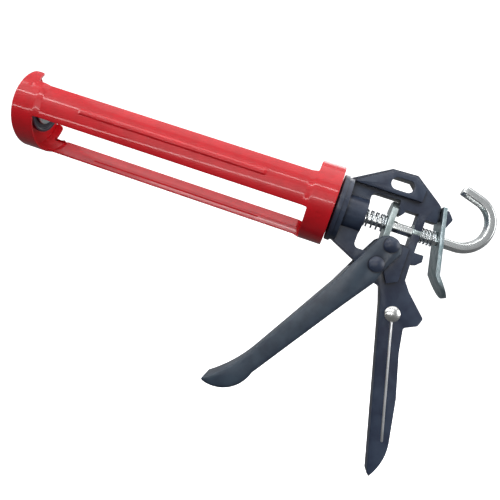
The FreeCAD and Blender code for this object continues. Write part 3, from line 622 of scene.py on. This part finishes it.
@dataclass
class Cradle:
    """The half-open cradle, bent from one sheet: front ring, two beaded strips, rear collar.

    Angles are degrees about the push rod, from -Y and towards +Z.
    """

    wall: float = 1.2 * MM
    recess: float = 1.0 * MM
    band: float = 15.8 * MM
    arm: float = 7.5 * MM
    collar: float = 16.0 * MM
    joggle: float = 4.2 * MM
    fillet: float = 0.9 * MM
    arm_lip: float = 3.4 * MM
    arm_lip_span: float = 10.0 * MM
    arm_near: float = 60.0
    arm_far: float = -174.8
    bead_half: float = 2.3 * MM
    bead_rise: float = 0.78 * MM
    bead_inset: float = 48.0 * MM
    bead_flat: float = 0.42
    bead_slope: float = 0.58
    bead_run: float = 2.4 * MM
    bead_reach_deg: float = 5.4
    tip_round: float = 3.0 * MM
    notch_run: float = 0.2 * MM
    box_gap: float = 0.02 * MM
    filed_edge: float = 0.28 * MM
    grid: float = 0.001 * MM
    dimple_depth: float = 0.22 * MM
    dimple_radius: float = 1.1 * MM

    def __post_init__(self) -> None:
        """Take the outer sizes from the CAD shell."""
        low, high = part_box("cradle_shell")
        self.front = low.x
        self.back = high.x
        self.radius = (high.z - low.z) / 2 - self.box_gap
        self.upper = Strip(6.85)
        self.lower = Strip(-119.75)
        self.strips = (self.upper, self.lower)
        self.dimples = [
            (self.front + self.band * 0.55, self.upper.start + 13.0),
            (self.front + self.band * 0.5, self.upper.end - 9.0),
            (self.back - self.collar * 0.5, self.upper.start - 4.0),
            (self.back - self.collar * 0.42, self.upper.end - 5.0),
            (self.back - self.collar * 0.5, self.lower.start + 6.0),
            (self.front + self.band * 0.5, self.lower.end + 8.0),
        ]

    def away(self, angle: float, strip: Strip) -> float:
        """Arc length from a strip's nearest edge to this angle."""
        turns = [abs((angle - edge + 180) % 360 - 180) for edge in (strip.start, strip.end)]
        return math.radians(min(turns)) * self.radius

    def inside(self, angle: float) -> bool:
        """Whether a strip covers this angle."""
        return any(strip.start - 1e-6 <= angle <= strip.end + 1e-6 for strip in self.strips)

    def ring_end(self, angle: float) -> float:
        """Where the front ring ends at this angle."""
        foot = self.band + self.fillet
        if self.inside(angle):
            return self.front + foot
        between = self.lower.end < angle < self.upper.start
        if between:
            near = min(self.away(angle, strip) for strip in self.strips)
            return self.front + self.band + quarter(self.fillet, near)
        upper = angle > self.upper.end
        near = self.away(angle, self.upper if upper else self.lower)
        lip = self.arm_lip * max(0.0, 1.0 - near / self.arm_lip_span) if upper else 0.0
        foot_lip = self.arm_lip if upper else 0.0
        step = (foot - self.arm - foot_lip - self.fillet) * max(0.0, 1.0 - near / self.notch_run)
        return self.front + self.arm + lip + step + quarter(self.fillet, near) - self.tip(angle)

    def tip(self, angle: float) -> float:
        """How much the rounded tip of an arm has drawn in at this angle."""
        ends = min(abs(angle - self.arm_near), abs(angle - self.arm_far))
        return quarter(self.tip_round, math.radians(ends) * self.radius)

    def ring_start(self, angle: float) -> float:
        """Where the front ring starts at this angle."""
        if self.lower.start <= angle <= self.upper.end:
            return self.front
        return self.front + self.tip(angle)

    def collar_start(self, angle: float) -> float:
        """Where the rear collar starts at this angle."""
        place = self.back - self.collar
        if self.inside(angle):
            return place - self.fillet
        near = min(self.away(angle, strip) for strip in self.strips)
        return place - quarter(self.fillet, near)

    def skin(self, x: float, angle: float) -> float:
        """The sheet's outer radius at a place."""
        rise = fold((x - self.front - self.band) / self.joggle)
        fall = fold((self.back - self.collar - x) / self.joggle)
        radius = self.radius - self.recess * rise * fall
        for strip in self.strips:
            across = math.radians(angle - strip.middle) * self.radius
            along = min(x - self.front - self.bead_inset, self.back - self.bead_inset - x)
            slope = (abs(across) - self.bead_half * self.bead_flat) / (self.bead_half * self.bead_slope)
            radius += self.bead_rise * (1.0 - ease(slope)) * ease(along / self.bead_run + 0.5)
        for place, turn in self.dimples:
            gap = math.hypot(x - place, math.radians(angle - turn) * self.radius)
            radius -= self.dimple_depth * math.exp(-(gap / self.dimple_radius) ** 2)
        return radius

    def columns(self) -> list[float]:
        """The angles of the mesh's columns, closer together over the beads and at the arms."""
        lower, upper, reach = self.lower, self.upper, self.bead_reach_deg
        tight, bead, plain, fillet_reach = 0.5, 0.62, 1.8, 2.0
        marks = [
            (self.arm_far, 0.9),
            (lower.start - tight, tight),
            (lower.start, plain),
            (lower.middle - reach, bead),
            (lower.middle + reach, plain),
            (lower.end, tight),
            (lower.end + fillet_reach, plain),
            (upper.start - fillet_reach, tight),
            (upper.start, plain),
            (upper.middle - reach, bead),
            (upper.middle + reach, plain),
            (upper.end, tight),
            (upper.end + tight, tight),
            (upper.end + fillet_reach, 1.0),
            (self.arm_near, 2.0),
        ]
        ends = [mark for mark, _ in marks[1:]] + [self.arm_far + 360.0]
        angles: list[float] = []
        for (mark, step), end in zip(marks, ends):
            angles += spread(mark, end, step)[:-1]
        return angles

    def rows(self) -> list[float]:
        """The places of the mesh's rows between the ring and the collar."""
        start = self.front + self.band + self.fillet
        end = self.back - self.collar - self.fillet
        first, last = self.front + self.bead_inset, self.back - self.bead_inset
        bend = 3.6 * MM
        marks = [start, start + bend, first - self.bead_run, first + self.bead_run,
                 last - self.bead_run, last + self.bead_run, end - bend, end]
        tight, bead, plain = 0.3, 0.4, 2.6
        steps = [tight, plain, bead, plain, bead, plain, tight]
        places: list[float] = []
        for mark, after, step in zip(marks, marks[1:], steps):
            places += spread(mark, after, step * MM)[:-1]
        return places + [end]

    def build(self) -> Shape:
        """Bend the sheet and give it its thickness."""
        angles = self.columns()
        rows = self.rows()
        ring_rows, collar_rows = 30, 26
        vertices: list[Vector] = []
        table: dict[tuple, int] = {}

        def at(column: int, zone: str, row: int) -> int:
            """The number of a grid point, made when it is first used."""
            angle = angles[column % len(angles)]
            if zone == "ring":
                start, end = self.ring_start(angle), self.ring_end(angle)
                x = start + (end - start) * row / ring_rows
            elif zone == "collar":
                start = self.collar_start(angle)
                x = start + (self.back - start) * row / collar_rows
            else:
                x = rows[row]
            key = (column % len(angles), round(x / self.grid))
            if key not in table:
                turn = math.radians(angle)
                radius = self.skin(x, angle if angle < 180 else angle - 360)
                table[key] = len(vertices)
                vertices.append(Vector((x, -radius * math.cos(turn), radius * math.sin(turn))))
            return table[key]

        faces = []
        for column, angle in enumerate(angles):
            after = angles[column + 1] if column + 1 < len(angles) else self.arm_far + 360.0
            zones = [("collar", collar_rows)]
            if after <= self.arm_near + 1e-6:
                zones.append(("ring", ring_rows))
            if self.inside(angle) and self.inside(after):
                zones.append(("strip", len(rows) - 1))
            for zone, count in zones:
                faces += [(at(column, zone, row), at(column, zone, row + 1),
                           at(column + 1, zone, row + 1), at(column + 1, zone, row)) for row in range(count)]
        piece = new_piece("cradle_sheet", vertices, faces)
        sheet = piece.modifiers.new("sheet_thickness", "SOLIDIFY")
        sheet.thickness = self.wall
        sheet.offset = -1.0
        sheet.use_even_offset = True
        bevel = piece.modifiers.new("filed_edges", "BEVEL")
        bevel.width = self.filed_edge
        bevel.segments = 2
        bevel.limit_method = "ANGLE"
        bevel.angle_limit = math.radians(50)
        settle(piece, 40.0)
        return stands_for(piece, "cradle_shell", "cradle", Finish.cradle_paint)


# ---------------------------------------------------------------- push rod
@dataclass
class PushRod:
    """The hexagonal rod with its ladder hook and threaded stud."""

    across_flats: float = 7.0 * MM
    corner: float = 1.1 * MM
    hook_radius: float = 17.2 * MM
    hook_turn_deg: float = 162.0
    tip: float = 12.2 * MM
    stud_radius: float = 3.0 * MM
    stud_length: float = 7.8 * MM
    thread_pitch: float = 0.8 * MM

    def __post_init__(self) -> None:
        """Take the ends from the CAD rod."""
        low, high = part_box("push_rod")
        self.front = low.x
        self.bend = high.x - self.across_flats / 2 - self.hook_radius

    def line(self) -> list[Vector]:
        """Points along the middle of the rod, from the stud to the tip of the hook."""
        straight = [Vector((x, 0, 0)) for x in spread(
            self.front + self.stud_length, self.bend, 12 * MM)]
        arc = []
        for turn_deg in spread(0.0, self.hook_turn_deg, 3.0)[1:]:
            turn = math.radians(turn_deg)
            arc.append(Vector((self.bend + self.hook_radius * math.sin(turn), 0,
                               self.hook_radius * (1 - math.cos(turn)))))
        turn = math.radians(self.hook_turn_deg)
        way = Vector((math.cos(turn), 0, math.sin(turn)))
        return straight + arc + [arc[-1] + way * t for t in spread(0.0, self.tip - 0.4 * MM, 3 * MM)[1:]]

    def build(self) -> list[Shape]:
        """Sweep the rod and turn the stud on its front end."""
        hexagon = [(b, a) for a, b in Section.hexagon(self.across_flats, self.corner)]
        rod = sweep("hook_rod", self.line(), hexagon, Vector((0, 1, 0)), nose=0.4 * MM)
        outline = [(0.0, 0.0), (0.0, self.stud_radius - 0.5 * MM)]
        place = 0.4 * MM
        while place < self.stud_length:
            outline.append((place, self.stud_radius - 0.05 * MM))
            outline.append((place + self.thread_pitch / 2, self.stud_radius - 0.45 * MM))
            place += self.thread_pitch
        outline.append((self.stud_length + 0.2 * MM, self.stud_radius - 0.05 * MM))
        outline.append((self.stud_length + 0.2 * MM, 0.0))
        stud = lathe("rod_stud", outline, Vector((self.front, 0, 0)), Vector((1, 0, 0)), 40, 20.0)
        stands_for(rod, "push_rod", "rod", Finish.rod_zinc)
        wardrobe.dress(stud, Finish.rod_zinc)
        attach(stud, "rod")
        return [rod, stud]


# ---------------------------------------------------------------- springs
@dataclass
class Spring:
    """A compression spring on the rod, with closed ends."""

    node: str
    joint: str
    travel: float
    radius: float
    wire: float
    turns: float
    span: tuple[float, float]
    closed_turns: float = 0.78
    closed_pitch: float = 0.55
    points_per_turn: int = 28
    start_deg: float = 200.0
    nose: float = 0.2 * MM

    def line(self) -> list[Vector]:
        """Points along the middle of the wire."""
        start, end = self.span[0] + self.wire / 2, self.span[1] - self.wire / 2
        rest = end - start
        steps = int(self.turns * self.points_per_turn)
        dead = self.closed_turns / self.turns
        seat = self.wire * self.closed_pitch
        points = []
        for k in range(steps + 1):
            t = k / steps
            if t < dead:
                along = seat * t / dead
            elif t > 1 - dead:
                along = rest - seat * (1 - t) / dead
            else:
                along = seat + (rest - 2 * seat) * (t - dead) / (1 - 2 * dead)
            turn = 2 * math.pi * self.turns * t + math.radians(self.start_deg)
            points.append(Vector((start + along, self.radius * math.cos(turn), self.radius * math.sin(turn))))
        return points

    def build(self) -> Shape:
        """Wind the wire and put it on the frame in place of its CAD node."""
        piece = sweep(self.node + "_coil", self.line(), Section.round(self.wire / 2, 12),
                      Vector((1, 0, 0)), nose=self.nose)
        stands_for(piece, self.node, "frame", Finish.spring_zinc)
        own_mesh(piece)
        return piece


# ---------------------------------------------------------------- puncture wire
@dataclass
class PunctureWire:
    """The wire that pierces the cartridge seal, with its eye round the rivet."""

    radius: float = 0.8 * MM
    eye: float = 3.0 * MM
    eye_start_deg: float = 30.0
    eye_end_deg: float = 338.0
    neck: float = 2.6 * MM
    nose: float = 0.5 * MM

    def build(self) -> Shape:
        """Bend the eye and run the wire down the handle."""
        pivot = middle_of("stow_rivet")
        low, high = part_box("puncture_wire")
        centre = Vector((pivot.x, (low.y + high.y) / 2, pivot.z))
        tip = Vector((high.x - self.radius, centre.y, low.z + self.radius))
        way = (tip - centre).normalized()
        side = Vector((way.z, 0, -way.x))
        points = []
        for turn_deg in spread(self.eye_start_deg, self.eye_end_deg, 8.0):
            turn = math.radians(turn_deg)
            points.append(centre + (way * math.cos(turn) + side * math.sin(turn)) * self.eye)
        points = list(reversed(points))
        neck = centre + way * (self.eye + self.neck)
        points += [points[-1].lerp(neck, t) for t in (0.35, 0.7)]
        points += [neck.lerp(tip, t) for t in spread(0.0, 1.0, 0.12)]
        piece = sweep("stowed_wire", points, Section.round(self.radius, 14), Vector((0, 1, 0)),
                      nose=self.nose)
        return stands_for(piece, "puncture_wire", "wire", Finish.wire_steel)


# ---------------------------------------------------------------- CAD nodes that stay
@dataclass(frozen=True)
class Kept:
    """A CAD node that is shown as it is, with its finish and the roundness of its edges."""

    node: str
    finish: Finish
    edge: float

    def dress(self) -> None:
        """Merge the node's flat facets, round its edges and give it its finish."""
        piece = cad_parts[self.node]
        wardrobe.dress(piece, self.finish)
        shade(piece, 32.0)
        weld = piece.modifiers.new("weld", "WELD")
        weld.merge_threshold = 0.002 * MM
        flat = piece.modifiers.new("merge_flats", "DECIMATE")
        flat.decimate_type = "DISSOLVE"
        flat.angle_limit = math.radians(0.6)
        soften(piece, self.edge)


KEPT = (
    Kept("frame", Finish.frame_paint, 0.5 * MM),
    Kept("trigger", Finish.trigger_paint, 0.6 * MM),
    Kept("front_plate", Finish.cradle_paint, 0.2 * MM),
    Kept("rear_plate", Finish.cradle_paint, 0.2 * MM),
    Kept("hub_retainer", Finish.zinc, 0.2 * MM),
    Kept("friction_washer", Finish.nylon, 0.1 * MM),
    Kept("front_bush", Finish.zinc, 0.1 * MM),
    Kept("rear_bush", Finish.zinc, 0.1 * MM),
    Kept("trigger_pivot", Finish.frame_paint, 0.3 * MM),
    Kept("drive_pin", Finish.frame_paint, 0.3 * MM),
    Kept("stow_rivet", Finish.bright_zinc, 0.25 * MM),
    Kept("drive_plate", Finish.zinc, 0.35 * MM),
    Kept("plunger_disc", Finish.disc_paint, 0.3 * MM),
    Kept("plunger_backing", Finish.zinc, 0.15 * MM),
    Kept("plunger_nut", Finish.bright_zinc, 0.3 * MM),
    Kept("release_lever", Finish.lever_zinc, 0.5 * MM),
)


# ---------------------------------------------------------------- studio
@dataclass
class Camera:
    """The camera, by the point it looks at and where it stands from there."""

    focus_x: float = 184.35 * MM
    focus_z: float = -46.73 * MM
    distance: float = 312.55 * MM
    yaw_deg: float = 6.676
    roll_deg: float = 19.245
    lens: float = 32.47

    def build(self) -> None:
        """Set up the scene's camera."""
        data = bpy.data.cameras.new("camera")
        data.lens = self.lens
        data.sensor_width = 36.0
        data.clip_start = 0.01
        data.clip_end = 50.0
        camera = bpy.data.objects.new("camera", data)
        bpy.context.scene.collection.objects.link(camera)
        turn = (Matrix.Rotation(math.radians(self.yaw_deg), 4, "Z")
                @ Matrix.Rotation(math.radians(90), 4, "X")
                @ Matrix.Rotation(math.radians(self.roll_deg), 4, "Z"))
        back = turn @ Vector((0, 0, 1))
        focus = Vector((self.focus_x, 0.0, self.focus_z))
        camera.matrix_world = Matrix.Translation(focus + back * self.distance) @ turn
        bpy.context.scene.camera = camera


@dataclass
class SoftBox:
    """A soft light that faces the gun, turned about its own axis by a tilt."""

    name: str
    elevation_deg: float
    azimuth_deg: float
    distance: float
    width: float
    height: float
    watts: float
    tilt_deg: float = 17.0

    def build(self, focus: Vector) -> None:
        """Hang the light, its width along the gun."""
        data = bpy.data.lights.new(self.name, "AREA")
        data.shape = "RECTANGLE"
        data.size = self.width
        data.size_y = self.height
        data.energy = self.watts
        light = bpy.data.objects.new(self.name, data)
        bpy.context.scene.collection.objects.link(light)
        rise, turn = math.radians(self.elevation_deg), math.radians(self.azimuth_deg)
        way = Vector((math.cos(rise) * math.sin(turn), -math.cos(rise) * math.cos(turn), math.sin(rise)))
        light.location = focus + way * self.distance
        tilt = Matrix.Rotation(math.radians(self.tilt_deg), 3, "Z")
        light.rotation_euler = (way.to_track_quat("Z", "Y").to_matrix() @ tilt).to_euler()


LIGHTS = (
    SoftBox("upper_strip_light", elevation_deg=33.5, azimuth_deg=-19.0, distance=1.3,
            width=1.4, height=0.06, watts=4.0),
    SoftBox("lower_strip_light", elevation_deg=-4.5, azimuth_deg=-19.0, distance=1.3,
            width=1.4, height=0.06, watts=3.0),
    SoftBox("top_box", elevation_deg=80.0, azimuth_deg=0.0, distance=1.2,
            width=1.6, height=1.2, watts=8.0, tilt_deg=0.0),
    SoftBox("front_box", elevation_deg=6.0, azimuth_deg=-8.0, distance=1.6,
            width=1.2, height=0.8, watts=2.6),
    SoftBox("left_box", elevation_deg=22.0, azimuth_deg=-72.0, distance=1.4,
            width=0.9, height=0.9, watts=7.0),
    SoftBox("right_box", elevation_deg=22.0, azimuth_deg=76.0, distance=1.4,
            width=0.9, height=0.9, watts=7.0),
    SoftBox("back_box", elevation_deg=40.0, azimuth_deg=180.0, distance=1.4,
            width=1.2, height=0.6, watts=5.0, tilt_deg=0.0),
)


@dataclass
class Studio:
    """A pale floor and backdrop under soft light."""

    sky: float = 0.46
    ground: float = 0.14
    horizon_low: float = -0.5
    horizon_high: float = 0.6
    paper: float = 1.0
    reach: float = 6.0
    backdrop_y: float = 2.4
    floor_gap: float = 0.5 * MM

    def paper_material(self) -> bpy.types.Material:
        """Backlit white paper, which leaves no shadow."""
        s = Shader("studio_paper")
        cloud = s.noise(0.8, 2.0)
        tint = s.blend(cloud.ramp(0.3, 0.7), rgb(255, 255, 255), rgb(252, 252, 252))
        return s.surface(Base_Color=tint, Roughness=0.9, Emission_Color=tint, Emission_Strength=self.paper)

    def room(self) -> None:
        """Make the room round the gun: pale above and darker below."""
        world = bpy.data.worlds.new("room")
        bpy.context.scene.world = world
        world.use_nodes = True
        tree = world.node_tree
        background = tree.nodes["Background"]
        place = tree.nodes.new("ShaderNodeTexCoord")
        split = tree.nodes.new("ShaderNodeSeparateXYZ")
        rise = tree.nodes.new("ShaderNodeMapRange")
        for name, value in (("From Min", self.horizon_low), ("From Max", self.horizon_high),
                            ("To Min", self.ground), ("To Max", self.sky)):
            rise.inputs[name].default_value = value
        tree.links.new(place.outputs["Generated"], split.inputs[0])
        tree.links.new(split.outputs["Z"], rise.inputs["Value"])
        tree.links.new(rise.outputs["Result"], background.inputs["Strength"])
        background.inputs["Color"].default_value = rgb(250, 252, 255)

    def build(self) -> None:
        """Lay the floor, stand the backdrop, make the room and hang the lights."""
        low, high = bounds_at_start
        focus = (Vector(low) + Vector(high)) / 2
        floor_z = low[2] - self.floor_gap
        far_y, r = self.backdrop_y, self.reach
        paper = self.paper_material()
        floor_corners = [(-r, -r, floor_z), (r, -r, floor_z), (r, r, floor_z), (-r, r, floor_z)]
        wall_corners = [(-r, far_y, floor_z), (r, far_y, floor_z), (r, far_y, r), (-r, far_y, r)]
        floor = new_piece("floor", floor_corners, [(0, 1, 2, 3)])
        wall = new_piece("backdrop", wall_corners, [(0, 1, 2, 3)])
        for sheet in (floor, wall):
            sheet.data.materials.append(paper)
            sheet.visible_diffuse = False
            sheet.visible_glossy = False
        self.room()
        for light in LIGHTS:
            light.build(focus)
        bpy.context.scene.view_settings.view_transform = "Standard"
        bpy.context.scene.view_settings.look = "None"


# ---------------------------------------------------------------- the gun
def make_springs() -> list[Shape]:
    """The drive spring and the release spring, each between its two seats."""
    hub_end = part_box("front_bush")[1].x
    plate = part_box("drive_plate")[0].x
    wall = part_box("rear_bush")[1].x
    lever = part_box("release_spring")[1].x
    gap = 0.05 * MM
    drive = Spring("drive_spring", "drive_slide", travel=7.6 * MM, radius=5.6 * MM, wire=1.3 * MM,
                   turns=5.0, span=(hub_end + gap, plate - gap))
    release = Spring("release_spring", "release_press", travel=1.8 * MM, radius=4.9 * MM,
                     wire=1.1 * MM, turns=5.0, span=(wall + gap, lever - gap))
    return [drive.build(), release.build()]


def main() -> None:
    """Build every sub-assembly and report each piece."""
    logging.basicConfig(level=logging.INFO, format="%(message)s")
    pieces: list[Shape] = [Cradle().build()]
    pieces += PushRod().build()
    pieces += make_springs()
    pieces.append(PunctureWire().build())
    for kept in KEPT:
        kept.dress()
        pieces.append(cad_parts[kept.node])
    Studio().build()
    Camera().build()
    for piece in pieces:
        log.info("%s: %d faces", piece.name, len(piece.data.polygons))


if __name__ == "__main__":
    main()
